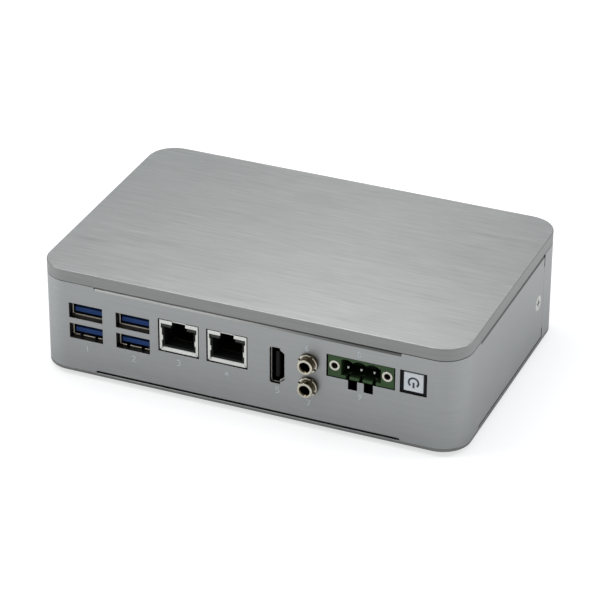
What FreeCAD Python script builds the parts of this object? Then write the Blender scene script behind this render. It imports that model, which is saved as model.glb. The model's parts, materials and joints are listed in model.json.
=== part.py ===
import FreeCAD, Part
import math
import os

from FreeCAD import Vector

# Fanless industrial PC: a brushed aluminium box whose thick lid cools the processor.
# A row of connectors and one push button look out of the front.
# Millimetres, +X right along the front, +Y to the back, +Z up.
# The origin lies under the middle of the overall box, where the rubber feet stand.

# Enclosure
body_width = 168.0
body_depth = 108.2
body_height = 42.6
corner_radius = 11.0
wall = 2.0
lid_thickness = 5.0
lid_edge_round = 0.35
lid_groove = 0.3
base_thickness = 1.2
base_groove = 0.2

# Seam between the front wrap and the rear wrap, measured from the rear face
seam_setback = 18.5
seam_gap = 0.15
relief_width = 0.9
relief_top_reach = 5.2
relief_bottom_reach = 4.6

# Slots left between the wraps and the lid above them, and the base below them
slot_side_margin = 23.3
slot_front_margin = 18.7
top_slot_depth = 0.25
top_slot_round = 1.4
bottom_slot_depth = 1.0
bottom_slot_round = 0.8
gutter_rim = 0.4
gutter_width = 3.2
gutter_depth = 0.8

# Joining tabs of the rear wrap and the screws through the side walls into them
tab_thickness = 1.5
tab_height = 24.0
tab_reach = 14.0
tab_root = 6.0
side_screw_setback = 5.6
side_screw_length = 5.5

# Feet
foot_height = 2.0
foot_radius = 6.0
foot_round = 0.5
foot_inset = 22.0

# Screws, by their shank radius and countersunk head radius
m3_radius = 1.5
m3_head_radius = 3.0
m3_head_rise = 1.65
cross_width = 0.6
cross_reach = 1.7
cross_depth = 1.0
hole_clearance = 0.1

# Corner posts between the base and the lid
post_radius = 3.5
post_clearance = 0.2
post_stud_radius = 2.0
post_stud_length = 3.0
base_screw_length = 7.0

# Clinched nuts in the base for a mounting plate
mount_spacing = 75.0
mount_bore_radius = 1.65
mount_nut_radius = 3.6
mount_nut_height = 2.2
mount_collar_radius = 2.7

# Main board, hung under the lid
board_side_gap = 9.0
board_front_gap = 0.5
board_rear_gap = 2.7
board_thickness = 1.6
board_corner_round = 1.5
board_hole_inset = 4.0
board_hole_setback = 24.0
boss_length = 4.7
boss_radius = 3.5
board_screw_length = 5.5
pan_head_radius = 2.8
pan_head_height = 1.8

# Processor and the copper block between it and the lid
processor_place = (-8.0, 14.0)
processor_width = 28.0
processor_thickness = 1.0
die_width = 13.0
die_thickness = 0.8
pad_width = 15.0
pad_thickness = 0.4
heat_block_width = 42.0
block_screw_inset = 4.5
block_screw_length = 4.0

# Free room left of, between and right of the ports, within the front's flat stretch
port_gaps = (1.82, 5.53, 3.50, 3.00, 8.77, 4.88, 2.41, 1.79, 2.40)

# Stacked serial ports, two connectors of two ports each
usb_cut_width = 13.7
usb_cut_height = 6.3
usb_pitch = 8.6
usb_upper_drop = 5.3
usb_sheet = 0.3
usb_depth = 17.8
usb_setback = 0.35
usb_rim_gap = 0.1
usb_throat_inset = 0.75
usb_lip_gap = 1.5
usb_lip_gap_height = 0.6
usb_spring_offset = 3.0
usb_spring_width = 1.4
usb_spring_length = 3.2
usb_back_block = 8.0
tongue_width = 11.3
tongue_thickness = 1.84
tongue_gap = 0.75
tongue_recess = 1.0
usb_contact_length = 6.6
usb_contact_thickness = 0.2
usb_contact_width = 1.0
usb_contact_places = (-3.5, -1.0, 1.0, 3.5)

# Network ports
network_cut_width = 16.4
network_cut_height = 13.7
network_drop = 7.55
network_recess = 0.25
network_gap = 0.47
network_sheet = 0.35
network_depth = 21.0
network_rim = 0.95
network_thin_rim = 0.55
network_thin_rim_height = 9.2
network_tab_rise = 0.4
network_tab_span = (4.2, 6.5)
network_tab_slope = 0.3
network_notch_width = 5.4
network_corner_drop = 1.5
network_flap_rise = 1.25
network_flap_reach = 0.75
network_flap_sheet = 0.3
network_flap_inset = 0.45
network_mitre_foot = 0.12
network_mitre_depth = 1.2
cavity_width = 11.8
cavity_depth = 13.0
cavity_floor = 2.4
cavity_height = 7.3
latch_width = 6.4
latch_height = 2.0
wire_count = 8
wire_width = 0.45
wire_pitch = 1.02
wire_rise = 1.7
wire_run = 8.0
lamp_width = 3.6
lamp_height = 1.3
lamp_depth = 6.0

# Upright video port
video_drop = 9.85
video_cut_width = 5.9
video_cut_height = 15.1
video_step_x = 1.75
video_step_z = 0.8
video_slope_z = 1.3
video_corner_round = 1.0
video_gap = 0.12
video_sheet = 0.35
video_recess = 1.0
video_depth = 12.0
video_plug_depth = 3.0
video_tower_depth = 4.0
video_tongue_thickness = 1.3
video_tongue_height = 10.6
video_tongue_shift = -0.3
video_contact_count = 9
video_contact_pitch = 1.0
video_contact_width = 0.45
video_contact_thickness = 0.12
video_contact_length = 6.0

# Audio jacks, one above the other
audio_drops = {"upper": 5.7, "lower": 15.4}
audio_reach = 4.0
audio_barrel_radius = 3.05
audio_flange_radius = 3.8
audio_flange_length = 1.0
audio_bore_radius = 1.8
audio_mouth_radius = 2.15
audio_mouth_depth = 0.5
audio_lip_round = 0.35
audio_hole_clearance = 0.15
audio_nut_radius = 3.85
audio_nut_thickness = 1.55
audio_nut_turn = 28.0
audio_nut_slot = 0.9
audio_nut_slot_depth = 0.75
audio_housing_width = 9.0
audio_housing_depth = 13.0
audio_housing_bore = 10.4

# Power terminal
terminal_top_drop = 0.6
terminal_width = 25.4
terminal_height = 8.6
terminal_recess = 0.25
terminal_depth = 12.0
terminal_gap_side = 0.55
terminal_gap_ends = 0.3
terminal_pitch = 5.08
terminal_poles = 3
terminal_pin_drop = 5.6
terminal_pin = 1.0
terminal_pin_recess = 1.8
terminal_pin_tip = 0.35
terminal_nut_spacing = 20.32
terminal_nut_drop = 4.6
terminal_nut_radius = 2.0
terminal_nut_bore = 1.25
terminal_nut_proud = 0.15
terminal_cavity_width = 15.4
terminal_cavity_depth = 8.4
terminal_cavity_top_drop = 1.6
terminal_floor = 1.2
terminal_arc_rise = 0.95
terminal_pole_shift = -0.6
terminal_slit = 1.4
terminal_slit_depth = 3.0
latch_notch_width = 3.55
latch_notch_depth = 3.7
latch_notch_offset = 3.05

# Power switch
switch_drop = 4.9
switch_cut_width = 10.3
switch_cut_height = 9.4
switch_gap = 0.12
switch_recess = 0.5
switch_depth = 11.6
switch_shoulder = 2.4
switch_pocket = 6.0
switch_travel = 0.8
cap_width = 7.46
cap_height = 7.5
cap_lift = 0.2
cap_recess = 0.15
cap_edge_round = 0.25
cap_clearance = 0.15
cap_flange = 0.5
cap_flange_length = 1.2
cap_play = 0.1
stem_radius = 1.2
dome_radius = 2.8
dome_rise = 0.5
dome_sheet = 0.15
dome_clearance = 0.3

# Parts on the underside of the board, with the free room between them along X and Y
card_gaps = (1.7, 22.5, 5.2)
row_gaps = (3.5, 9.0, 8.0, 6.0)
depth_gaps = (6.3, 5.8, 14.4)
screw_room = 6.8
memory_width = 67.6
memory_depth = 30.0
memory_thickness = 1.2
memory_drop = 3.0
memory_socket_width = 73.0
memory_socket_depth = 7.0
memory_socket_height = 5.2
memory_bite = 4.0
memory_arm = 2.4
memory_chip_width = 11.0
memory_chip_depth = 9.0
memory_chip_height = 1.0
memory_chip_count = 4
storage_rear_gap = 4.0
storage_width = 30.0
storage_depth = 50.8
storage_thickness = 1.0
storage_drop = 2.6
storage_socket_height = 4.0
storage_socket_depth = 6.0
storage_bite = 3.0
storage_post_radius = 2.5
storage_post_inset = 2.8
storage_screw_radius = 1.25
storage_screw_head = 2.2
storage_screw_head_height = 1.3
storage_chip_width = 14.0
storage_chip_depth = 18.0
storage_chip_offset = 10.2
battery_radius = 10.0
battery_thickness = 3.2
battery_seat = 1.2
battery_wall = 1.2
choke_width = 10.0
choke_height = 4.0
choke_round = 1.2
choke_pitch = 14.0
choke_count = 2
capacitor_radius = 3.15
capacitor_height = 5.8
capacitor_pitch = 9.0
capacitor_count = 3

# Planes that follow from the sizes above
front_y = (audio_reach - body_depth) / 2
back_y = (audio_reach + body_depth) / 2
middle_y = (front_y + back_y) / 2
half_width = body_width / 2
base_bottom = foot_height
base_top = base_bottom + base_thickness
lid_top = base_bottom + body_height
lid_bottom = lid_top - lid_thickness
seam_y = back_y - seam_setback
slot_half_width = half_width - slot_side_margin
slot_front = front_y + slot_front_margin
inner_front = front_y + wall
board_half = half_width - wall - board_side_gap
board_front = inner_front + board_front_gap
board_back = back_y - wall - board_rear_gap
board_top = lid_bottom - boss_length
board_under = board_top - board_thickness
side_screw_y = seam_y - side_screw_setback
side_screw_z = (base_top + lid_bottom) / 2
overshoot = 5.0
tolerance = 1e-6


def spread(low, high, widths, gaps):
    """Middle points of things in a row, with the free room shared out by weights."""
    share = (high - low - sum(widths)) / sum(gaps)
    edge = low
    middles = []
    for width, gap in zip(widths, gaps):
        edge += gap * share
        middles.append(edge + width / 2)
        edge += width
    return middles


# Places of the ports along the front
port_widths = [usb_cut_width, usb_cut_width, network_cut_width, network_cut_width, video_cut_width,
               audio_housing_width, terminal_width + 2 * terminal_gap_side, switch_cut_width]
flat_half = half_width - corner_radius
port_places = spread(-flat_half, flat_half, port_widths, port_gaps)
usb_centres = {"left": port_places[0], "right": port_places[1]}
network_centres = {"left": port_places[2], "right": port_places[3]}
video_centre, audio_centre, terminal_centre, switch_centre = port_places[4:]

# Places of the parts under the board
holder_width = 2 * (battery_radius + battery_wall)
choke_row_width = (choke_count - 1) * choke_pitch + choke_width
capacitor_row_width = (capacitor_count - 1) * capacitor_pitch + 2 * capacitor_radius
screw_free_half = board_half - screw_room
memory_x, storage_x = spread(
    -screw_free_half, screw_free_half, [memory_socket_width, storage_width], card_gaps)
row_widths = [capacitor_row_width, holder_width, choke_row_width]
capacitor_row_x, battery_x, choke_row_x = spread(
    -screw_free_half, storage_x - storage_width / 2, row_widths, row_gaps)
memory_reach = memory_depth + memory_socket_depth - memory_bite
row_y, memory_middle = spread(
    front_y + network_recess + network_depth, board_back, [holder_width, memory_reach], depth_gaps)
memory_y = memory_middle + (memory_reach - memory_depth) / 2
storage_y = board_back - storage_rear_gap - storage_depth / 2

BACK = Vector(0, 1, 0)
UP = Vector(0, 0, 1)
DOWN = Vector(0, 0, -1)


def block(x0, x1, y0, y1, z0, z1):
    """A box between two corners."""
    return Part.makeBox(x1 - x0, y1 - y0, z1 - z0, Vector(x0, y0, z0))


def centred_block(x, y, width, depth, z0, z1):
    """A box standing on z0, centred on x and y."""
    return block(x - width / 2, x + width / 2, y - depth / 2, y + depth / 2, z0, z1)


def rod(radius, length, start, direction):
    """A round bar."""
    return Part.makeCylinder(radius, length, start, direction)


def joined(shapes):
    """One solid out of pieces that meet."""
    return shapes[0].fuse(shapes[1:]).removeSplitter()


def same(a, b):
    """Whether two lengths are equal apart from rounding."""
    return abs(a - b) < tolerance


def edges_along(shape, direction, keep=lambda point: True):
    """Straight edges along a direction whose middle passes a test."""
    found = []
    for edge in shape.Edges:
        if isinstance(edge.Curve, (Part.Line, Part.LineSegment)):
            tangent = edge.tangentAt(edge.FirstParameter)
            if same(abs(tangent.dot(direction)), 1) and keep(edge.CenterOfMass):
                found.append(edge)
    return found


def rounded_slab(inset, radius, z0, z1):
    """The body's rounded rectangle, drawn inside its outer faces by an inset."""
    x = half_width - inset
    slab = block(-x, x, front_y + inset, back_y - inset, z0, z1)
    return slab.makeFillet(radius, edges_along(slab, UP))


def prism(points, y0, y1):
    """A prism along Y over an outline of (x, z) points."""
    corners = [Vector(x, y0, z) for x, z in points]
    face = Part.Face(Part.makePolygon(corners + corners[:1]))
    return face.extrude(Vector(0, y1 - y0, 0))


def four_places(half_x, half_y, y_middle):
    """The four corners of a rectangle in plan."""
    return [(sx * half_x, y_middle + sy * half_y) for sx in (-1, 1) for sy in (-1, 1)]


def cross_recess(tip, inward, across):
    """The cross that a screwdriver fits, sunk from a head's face."""
    other = inward.cross(across)
    arms = []
    for along, wide in ((across, other), (other, across)):
        corner = tip - along * cross_reach - wide * (cross_width / 2) - inward * cross_depth
        sides = (along * (2 * cross_reach), wide * cross_width, inward * (2 * cross_depth))
        base = Part.makePolygon([corner, corner + sides[0], corner + sides[0] + sides[1],
                                 corner + sides[1], corner])
        arms.append(Part.Face(base).extrude(sides[2]))
    return joined(arms)


def countersunk_screw(face_point, inward, across, length):
    """A flat-headed screw whose head lies flush with the face it is sunk in."""
    head = Part.makeCone(m3_head_radius, m3_radius, m3_head_rise, face_point, inward)
    shank = rod(m3_radius, length, face_point, inward)
    return joined([head, shank]).cut(cross_recess(face_point, inward, across))


def countersunk_hole(face_point, inward, depth):
    """The hole that such a screw sits in."""
    head = Part.makeCone(m3_head_radius, m3_radius, m3_head_rise, face_point, inward)
    return joined([head, rod(m3_radius, depth, face_point, inward)])


def post_places():
    """Corner posts stand against the inner rounding of the wraps."""
    diagonal = (corner_radius - wall - post_clearance - post_radius) / math.sqrt(2)
    half_x = half_width - corner_radius + diagonal
    half_y = body_depth / 2 - corner_radius + diagonal
    return four_places(half_x, half_y, middle_y)


def board_hole_places():
    """Screw places near the board's corners."""
    half_x = board_half - board_hole_inset
    rows = (board_front + board_hole_setback, board_back - board_hole_inset)
    return [(side * half_x, y) for side in (-1, 1) for y in rows]


def heat_block_screw_places():
    """Two screws at opposite corners of the copper block."""
    reach = heat_block_width / 2 - block_screw_inset
    x, y = processor_place
    return [(x - reach, y - reach), (x + reach, y + reach)]


def lid():
    """Thick plate with bosses for the board, sockets for the posts and screw holes."""
    plate = rounded_slab(0, corner_radius, lid_bottom, lid_top)
    outline = [e for e in plate.Edges if same(e.CenterOfMass.z, lid_bottom)]
    plate = plate.makeChamfer(lid_groove, outline)
    outline = [e for e in plate.Edges if same(e.CenterOfMass.z, lid_top)]
    plate = plate.makeFillet(lid_edge_round, outline)
    bosses = [rod(boss_radius, boss_length, Vector(x, y, board_top), UP) for x, y in board_hole_places()]
    plate = joined([plate] + bosses)
    board_thread = board_screw_length - board_thickness + hole_clearance
    for x, y in board_hole_places():
        plate = plate.cut(rod(m3_radius, board_thread, Vector(x, y, board_top), UP))
    for x, y in post_places():
        plate = plate.cut(rod(post_stud_radius, post_stud_length + hole_clearance, Vector(x, y, lid_bottom), UP))
    block_thread = block_screw_length - heat_block_thickness() + hole_clearance
    for x, y in heat_block_screw_places():
        plate = plate.cut(rod(m3_radius, block_thread, Vector(x, y, lid_bottom), UP))
    return plate


def heat_block_thickness():
    """What is left between the processor's pad and the lid."""
    return boss_length - processor_thickness - die_thickness - pad_thickness


def shell_ring():
    """Both wraps in one: the body's four walls."""
    outer = rounded_slab(0, corner_radius, base_top, lid_bottom)
    return outer.cut(rounded_slab(wall, corner_radius - wall, base_top, lid_bottom))


def bottom_slot(half_x, y0, y1, direction):
    """A cutter for the lower slots with small roundings at the ends of its closed edge."""
    top = base_top + bottom_slot_depth
    cutter = block(-half_x, half_x, y0, y1, base_top - overshoot, top)
    return cutter.makeFillet(bottom_slot_round, edges_along(cutter, direction, lambda p: same(p.z, top)))


def slots():
    """The narrow upper and the wider lower slots of all four walls."""
    y_ends = (front_y - overshoot, back_y + overshoot)
    side = half_width + overshoot
    side_ends = (slot_front, seam_y)
    top = (lid_bottom - top_slot_depth, lid_bottom + overshoot)
    return [
        block(-slot_half_width, slot_half_width, *y_ends, *top),
        block(-side, side, *side_ends, *top),
        bottom_slot(slot_half_width, *y_ends, BACK),
        bottom_slot(side, *side_ends, Vector(1, 0, 0)),
    ]


def slot_roundings():
    """What rolls the outer edge of the top slots over."""
    r = top_slot_round
    land = lid_bottom - top_slot_depth
    side_ends = (slot_front, seam_y)
    cutters = []
    for face, inward in ((front_y, 1), (back_y, -1)):
        low, high = sorted((face - inward * r, face + inward * r))
        bar = block(-slot_half_width, slot_half_width, low, high, land - r, land + r)
        start = Vector(-slot_half_width, face + inward * r, land - r)
        cutters.append(bar.cut(rod(r, 2 * slot_half_width, start, Vector(1, 0, 0))))
    for face, inward in ((-half_width, 1), (half_width, -1)):
        low, high = sorted((face - inward * r, face + inward * r))
        bar = block(low, high, *side_ends, land - r, land + r)
        start = Vector(face + inward * r, side_ends[0], land - r)
        cutters.append(bar.cut(rod(r, side_ends[1] - side_ends[0], start, BACK)))
    return cutters


def relief_cuts():
    """Wider gaps at both ends of the side seams."""
    side = half_width + overshoot
    y0 = seam_y - relief_width / 2
    y1 = seam_y + relief_width / 2
    return [block(-side, side, y0, y1, lid_bottom - relief_top_reach, lid_bottom + overshoot),
            block(-side, side, y0, y1, base_top - overshoot, base_top + relief_bottom_reach)]


def usb_centre_z(level):
    """Height of a port's middle, counted down from the board: 0 upper, 1 lower."""
    return board_under - usb_upper_drop - level * usb_pitch


def video_prism(inset, y0, y1):
    """The port's outline with two stepped corners, drawn inside its panel cut."""
    x0 = video_centre - video_cut_width / 2 + inset
    x1 = video_centre + video_cut_width / 2 - inset
    z = board_under - video_drop
    half = video_cut_height / 2 - inset
    shoulder = x1 - video_step_x
    step = half - video_step_z
    slope = step - video_slope_z
    solid = prism([(x0, z - half), (shoulder, z - half), (shoulder, z - step), (x1, z - slope),
                   (x1, z + slope), (shoulder, z + step), (shoulder, z + half), (x0, z + half)], y0, y1)
    corners = edges_along(solid, BACK, lambda p: same(p.x, x0))
    return solid.makeFillet(video_corner_round - inset, corners)


def port_cuts():
    """Everything that is cut through the front wall."""
    y0 = front_y - overshoot
    y1 = inner_front + hole_clearance
    cuts = []
    for centre in usb_centres.values():
        for level in (0, 1):
            z = usb_centre_z(level)
            cuts.append(block(centre - usb_cut_width / 2, centre + usb_cut_width / 2, y0, y1,
                              z - usb_cut_height / 2, z + usb_cut_height / 2))
    z = board_under - network_drop
    for centre in network_centres.values():
        cuts.append(block(centre - network_cut_width / 2, centre + network_cut_width / 2, y0, y1,
                          z - network_cut_height / 2, z + network_cut_height / 2))
    cuts.append(video_prism(0, y0, y1))
    for drop in audio_drops.values():
        start = Vector(audio_centre, y0, board_under - drop)
        cuts.append(rod(audio_barrel_radius + audio_hole_clearance, y1 - y0, start, BACK))
    half = terminal_width / 2 + terminal_gap_side
    top = board_under - terminal_top_drop + terminal_gap_ends
    bottom = board_under - terminal_top_drop - terminal_height - terminal_gap_ends
    cuts.append(block(terminal_centre - half, terminal_centre + half, y0, y1, bottom, top))
    for side in (-1, 1):
        x = terminal_centre + side * latch_notch_offset
        cuts.append(block(x - latch_notch_width / 2, x + latch_notch_width / 2, y0, y1,
                          bottom - latch_notch_depth, (bottom + top) / 2))
    z = board_under - switch_drop
    cuts.append(block(switch_centre - switch_cut_width / 2, switch_centre + switch_cut_width / 2, y0, y1,
                      z - switch_cut_height / 2, z + switch_cut_height / 2))
    return cuts


def side_screws():
    """The two screws that hold the wraps together, one through each side."""
    screws = []
    for side in (-1, 1):
        point = Vector(side * half_width, side_screw_y, side_screw_z)
        screws.append(countersunk_screw(point, Vector(-side, 0, 0), UP, side_screw_length))
    return Part.makeCompound(screws)


def side_screw_holes(depth):
    """Countersunk holes for them."""
    holes = []
    for side in (-1, 1):
        point = Vector(side * half_width, side_screw_y, side_screw_z)
        holes.append(countersunk_hole(point, Vector(-side, 0, 0), depth))
    return holes


def front_wrap():
    """Front wall and the larger part of both sides, bent out of one sheet."""
    far = half_width + overshoot
    rear_part = block(-far, far, seam_y - seam_gap / 2, back_y + overshoot, base_bottom, lid_top)
    cutters = [rear_part] + slots() + slot_roundings() + relief_cuts() + port_cuts()
    return shell_ring().cut(cutters + side_screw_holes(side_screw_length + hole_clearance))


def rear_wrap():
    """Plain rear wall with both rear corners and a joining tab behind each side."""
    far = half_width + overshoot
    front_part = block(-far, far, front_y - overshoot, seam_y + seam_gap / 2, base_bottom, lid_top)
    walls = shell_ring().cut([front_part] + slots() + slot_roundings() + relief_cuts())
    tabs = []
    for side in (-1, 1):
        outer = side * (half_width - wall)
        low, high = sorted((outer, outer - side * tab_thickness))
        tabs.append(block(low, high, seam_y - tab_reach, seam_y + tab_root,
                          side_screw_z - tab_height / 2, side_screw_z + tab_height / 2))
    return joined([walls] + tabs).cut(side_screw_holes(side_screw_length + hole_clearance))


def base_gutters():
    """Shallow grooves just inside the base's edge, below the lower slots."""
    depth = (base_top - gutter_depth, base_top + overshoot)
    near = gutter_rim
    far = gutter_rim + gutter_width
    cuts = []
    for face, inward in ((front_y, 1), (back_y, -1)):
        y0, y1 = sorted((face + inward * near, face + inward * far))
        cuts.append(block(-slot_half_width, slot_half_width, y0, y1, *depth))
    for face, inward in ((-half_width, 1), (half_width, -1)):
        x0, x1 = sorted((face + inward * near, face + inward * far))
        cuts.append(block(x0, x1, slot_front, seam_y, *depth))
    return cuts


def base_plate():
    """Flat bottom sheet with sunk screw holes and holes for the clinched nuts."""
    plate = rounded_slab(0, corner_radius, base_bottom, base_top)
    outline = [e for e in plate.Edges if same(e.CenterOfMass.z, base_top)]
    plate = plate.makeChamfer(base_groove, outline)
    cuts = [countersunk_hole(Vector(x, y, base_bottom), UP, base_thickness + hole_clearance)
            for x, y in post_places()]
    cuts += base_gutters()
    for x, y in mount_places():
        cuts.append(rod(mount_collar_radius, base_thickness, Vector(x, y, base_bottom), UP))
    return plate.cut(cuts)


def base_screws():
    """Screws from below into the corner posts."""
    across = Vector(1, 0, 0)
    return Part.makeCompound([countersunk_screw(Vector(x, y, base_bottom), UP, across, base_screw_length)
                              for x, y in post_places()])


def corner_posts():
    """Posts with a stud in the lid and a threaded hole for the base screw."""
    posts = []
    for x, y in post_places():
        body = rod(post_radius, lid_bottom - base_top, Vector(x, y, base_top), UP)
        stud = rod(post_stud_radius, post_stud_length, Vector(x, y, lid_bottom), UP)
        hole = countersunk_hole(Vector(x, y, base_bottom), UP, base_screw_length + hole_clearance)
        posts.append(joined([body, stud]).cut(hole))
    return Part.makeCompound(posts)


def mount_places():
    """The square of threaded holes in the base."""
    return four_places(mount_spacing / 2, mount_spacing / 2, middle_y)


def mount_nuts():
    """Clinched nuts, pressed into the base sheet from inside."""
    nuts = []
    for x, y in mount_places():
        body = rod(mount_nut_radius, mount_nut_height, Vector(x, y, base_top), UP)
        collar = rod(mount_collar_radius, base_thickness, Vector(x, y, base_bottom), UP)
        bore = rod(mount_bore_radius, mount_nut_height + base_thickness, Vector(x, y, base_bottom), UP)
        nuts.append(joined([body, collar]).cut(bore))
    return Part.makeCompound(nuts)


def rubber_foot(x, y):
    """One round foot stuck under the base, its lower edge rounded."""
    foot = rod(foot_radius, foot_height, Vector(x, y, 0), UP)
    rim = [e for e in foot.Edges if same(e.CenterOfMass.z, 0) and isinstance(e.Curve, Part.Circle)]
    return foot.makeFillet(foot_round, rim)


def foot_places():
    """Feet well inside the outline, so that they don't show from above."""
    return four_places(half_width - foot_inset, body_depth / 2 - foot_inset, middle_y)


def main_board():
    """The circuit board with its four screw holes."""
    board = block(-board_half, board_half, board_front, board_back, board_under, board_top)
    board = board.makeFillet(board_corner_round, edges_along(board, UP))
    holes = [rod(m3_radius, board_thickness, Vector(x, y, board_under), UP) for x, y in board_hole_places()]
    return board.cut(holes)


def board_screws():
    """Pan-headed screws from below, through the board into the lid's bosses."""
    screws = []
    for x, y in board_hole_places():
        head = rod(pan_head_radius, pan_head_height, Vector(x, y, board_under - pan_head_height), UP)
        shank = rod(m3_radius, board_screw_length, Vector(x, y, board_under), UP)
        tip = Vector(x, y, board_under - pan_head_height)
        screws.append(joined([head, shank]).cut(cross_recess(tip, UP, Vector(1, 0, 0))))
    return Part.makeCompound(screws)


def processor():
    """Carrier plate and die, soldered to the top of the board."""
    x, y = processor_place
    top = board_top + processor_thickness
    carrier = centred_block(x, y, processor_width, processor_width, board_top, top)
    die = centred_block(x, y, die_width, die_width, top, top + die_thickness)
    return joined([carrier, die])


def thermal_pad():
    """Soft pad between the die and the copper block."""
    x, y = processor_place
    z = board_top + processor_thickness + die_thickness
    return centred_block(x, y, pad_width, pad_width, z, z + pad_thickness)


def heat_block():
    """Copper block that carries the heat into the lid."""
    x, y = processor_place
    low = lid_bottom - heat_block_thickness()
    body = centred_block(x, y, heat_block_width, heat_block_width, low, lid_bottom)
    holes = [countersunk_hole(Vector(sx, sy, low), UP, block_screw_length)
             for sx, sy in heat_block_screw_places()]
    return body.cut(holes)


def heat_block_screws():
    """Two sunk screws from the block into the lid."""
    low = lid_bottom - heat_block_thickness()
    return Part.makeCompound([countersunk_screw(Vector(x, y, low), UP, Vector(1, 0, 0), block_screw_length)
                              for x, y in heat_block_screw_places()])


def usb_shell(centre):
    """Sheet metal cage of two stacked ports, open at the front."""
    half = usb_cut_width / 2 - usb_rim_gap
    y0 = inner_front + usb_setback
    y1 = y0 + usb_depth
    z0 = usb_centre_z(1) - usb_cut_height / 2 + usb_rim_gap
    cage = block(centre - half, centre + half, y0, y1, z0, board_under)
    cage = cage.cut(block(centre - half + usb_sheet, centre + half - usb_sheet, y0 + usb_sheet, y1 - usb_sheet,
                          z0 + usb_sheet, board_under - usb_sheet))
    front = (y0 - usb_sheet, y0 + usb_sheet)
    cuts = []
    for level in (0, 1):
        low, high = usb_throat(level)
        mouth = usb_cut_width / 2 - usb_throat_inset
        cuts.append(block(centre - mouth, centre + mouth, *front, low, high))
        edge = usb_centre_z(level) - usb_cut_height / 2
        for side in (-1, 1):
            outer = centre + side * usb_cut_width / 2
            x0, x1 = sorted((outer, outer - side * usb_lip_gap))
            cuts.append(block(x0, x1, *front, edge, edge + usb_lip_gap_height))
    for side in (-1, 1):
        x = centre + side * usb_spring_offset
        cuts.append(block(x - usb_spring_width / 2, x + usb_spring_width / 2,
                          y0 - usb_sheet, y0 + usb_spring_length, z0 - usb_sheet, usb_throat(1)[0]))
    return cage.cut(cuts)


def usb_throat(level):
    """Lowest and highest point of a port's mouth in the cage."""
    z = usb_centre_z(level)
    half = usb_cut_height / 2 - usb_throat_inset
    return z - half, z + half


def usb_insert(centre):
    """Moulded insert: back block, middle wall and the two contact tongues."""
    half = usb_cut_width / 2 - usb_rim_gap - usb_sheet
    y0 = inner_front + usb_setback + usb_sheet
    y1 = inner_front + usb_setback + usb_depth - usb_sheet
    z0 = usb_centre_z(1) - usb_cut_height / 2 + usb_rim_gap + usb_sheet
    pieces = [block(centre - half, centre + half, y1 - usb_back_block, y1, z0, board_under - usb_sheet),
              block(centre - half, centre + half, y0, y1, usb_throat(1)[1], usb_throat(0)[0])]
    for level in (0, 1):
        low = usb_throat(level)[0] + tongue_gap
        pieces.append(block(centre - tongue_width / 2, centre + tongue_width / 2,
                            inner_front + tongue_recess, y1 - usb_back_block, low, low + tongue_thickness))
    return joined(pieces)


def usb_contacts(centre):
    """Contact strips on top of both tongues."""
    strips = []
    y1 = inner_front + usb_setback + usb_depth - usb_sheet - usb_back_block
    for level in (0, 1):
        top = usb_throat(level)[0] + tongue_gap + tongue_thickness
        for place in usb_contact_places:
            strips.append(centred_block(centre + place, y1 - usb_contact_length / 2, usb_contact_width,
                                        usb_contact_length, top, top + usb_contact_thickness))
    return Part.makeCompound(strips)


def network_frame(centre):
    """Outer limits of a network port: left, right, low, high and its front plane."""
    half = network_cut_width / 2 - network_gap
    z = board_under - network_drop
    reach = network_cut_height / 2 - network_gap
    return centre - half, centre + half, z - reach, z + reach, front_y + network_recess


def network_shell(centre):
    """Bright cage with a bent-in bottom flap and rims with a tab each."""
    x0, x1, z0, z1, y0 = network_frame(centre)
    t = network_sheet
    y1 = y0 + network_depth
    cage = block(x0, x1, y0, y1, z0, z1).cut(block(x0 + t, x1 - t, y0 + t, y1 - t, z0 + t, z1 - t))
    mouth = network_rim_line(x0, 1, z0, z1) + network_rim_line(x1, -1, z0, z1)[::-1]
    notch = block(centre - network_notch_width / 2, centre + network_notch_width / 2,
                  y0 - t, y0 + t, z0 + t, z1 + t)
    cuts = [prism(mouth, y0 - t, y0 + t), notch, network_foot(centre)]
    for x, side in ((x0, 1), (x1, -1)):
        foot = z0 + network_mitre_foot
        top = foot + network_rim
        mitre = [(x - side * t, z0 - t), (x - side * t, foot), (x, foot), (x + side * network_rim, top),
                 (x + side * (network_rim + network_flap_inset), top),
                 (x + side * network_flap_inset, z0 + t), (x + side * network_flap_inset, z0 - t)]
        cuts.append(prism(mitre, y0 - t, y0 + network_mitre_depth))
    cage = cage.cut(cuts)
    return joined([cage, network_flap(x0, x1, y0, z0)])


def network_rim_line(x, side, z0, z1):
    """Inner edge of one rim from the bottom up, with the tab half way."""
    rim = x + side * network_rim
    tab = rim + side * network_tab_rise
    thin = x + side * network_thin_rim
    low, high = network_tab_span
    slope = network_tab_slope
    return [(rim, z0 + network_sheet), (rim, z0 + low), (tab, z0 + low + slope), (tab, z0 + high - slope),
            (rim, z0 + high), (rim, z0 + network_thin_rim_height), (thin, z0 + network_thin_rim_height + slope),
            (thin, z1 - network_corner_drop)]


def network_flap(x0, x1, y0, z0):
    """The flap at the port's lower edge, sloping inwards and narrowing."""
    t = network_flap_sheet
    low = z0 + network_sheet
    high = z0 + network_flap_rise
    points = [(y0, low - t), (y0, low), (y0 + network_flap_reach, high),
              (y0 + network_flap_reach + t, high), (y0 + network_flap_reach + t, high - t), (y0 + t, low - t)]
    corners = [Vector(x0 + network_flap_inset, y, z) for y, z in points]
    face = Part.Face(Part.makePolygon(corners + corners[:1]))
    flap = face.extrude(Vector(x1 - x0 - 2 * network_flap_inset, 0, 0))
    trims = []
    for x, side in ((x0 + network_flap_inset, 1), (x1 - network_flap_inset, -1)):
        out = x - side * network_flap_inset
        points = [(out, low), (x, low), (x + side * (high - low), high + t), (out, high + t)]
        trims.append(prism(points, y0 - t, y0 + network_flap_reach + 2 * t))
    return flap.cut(trims)


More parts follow.
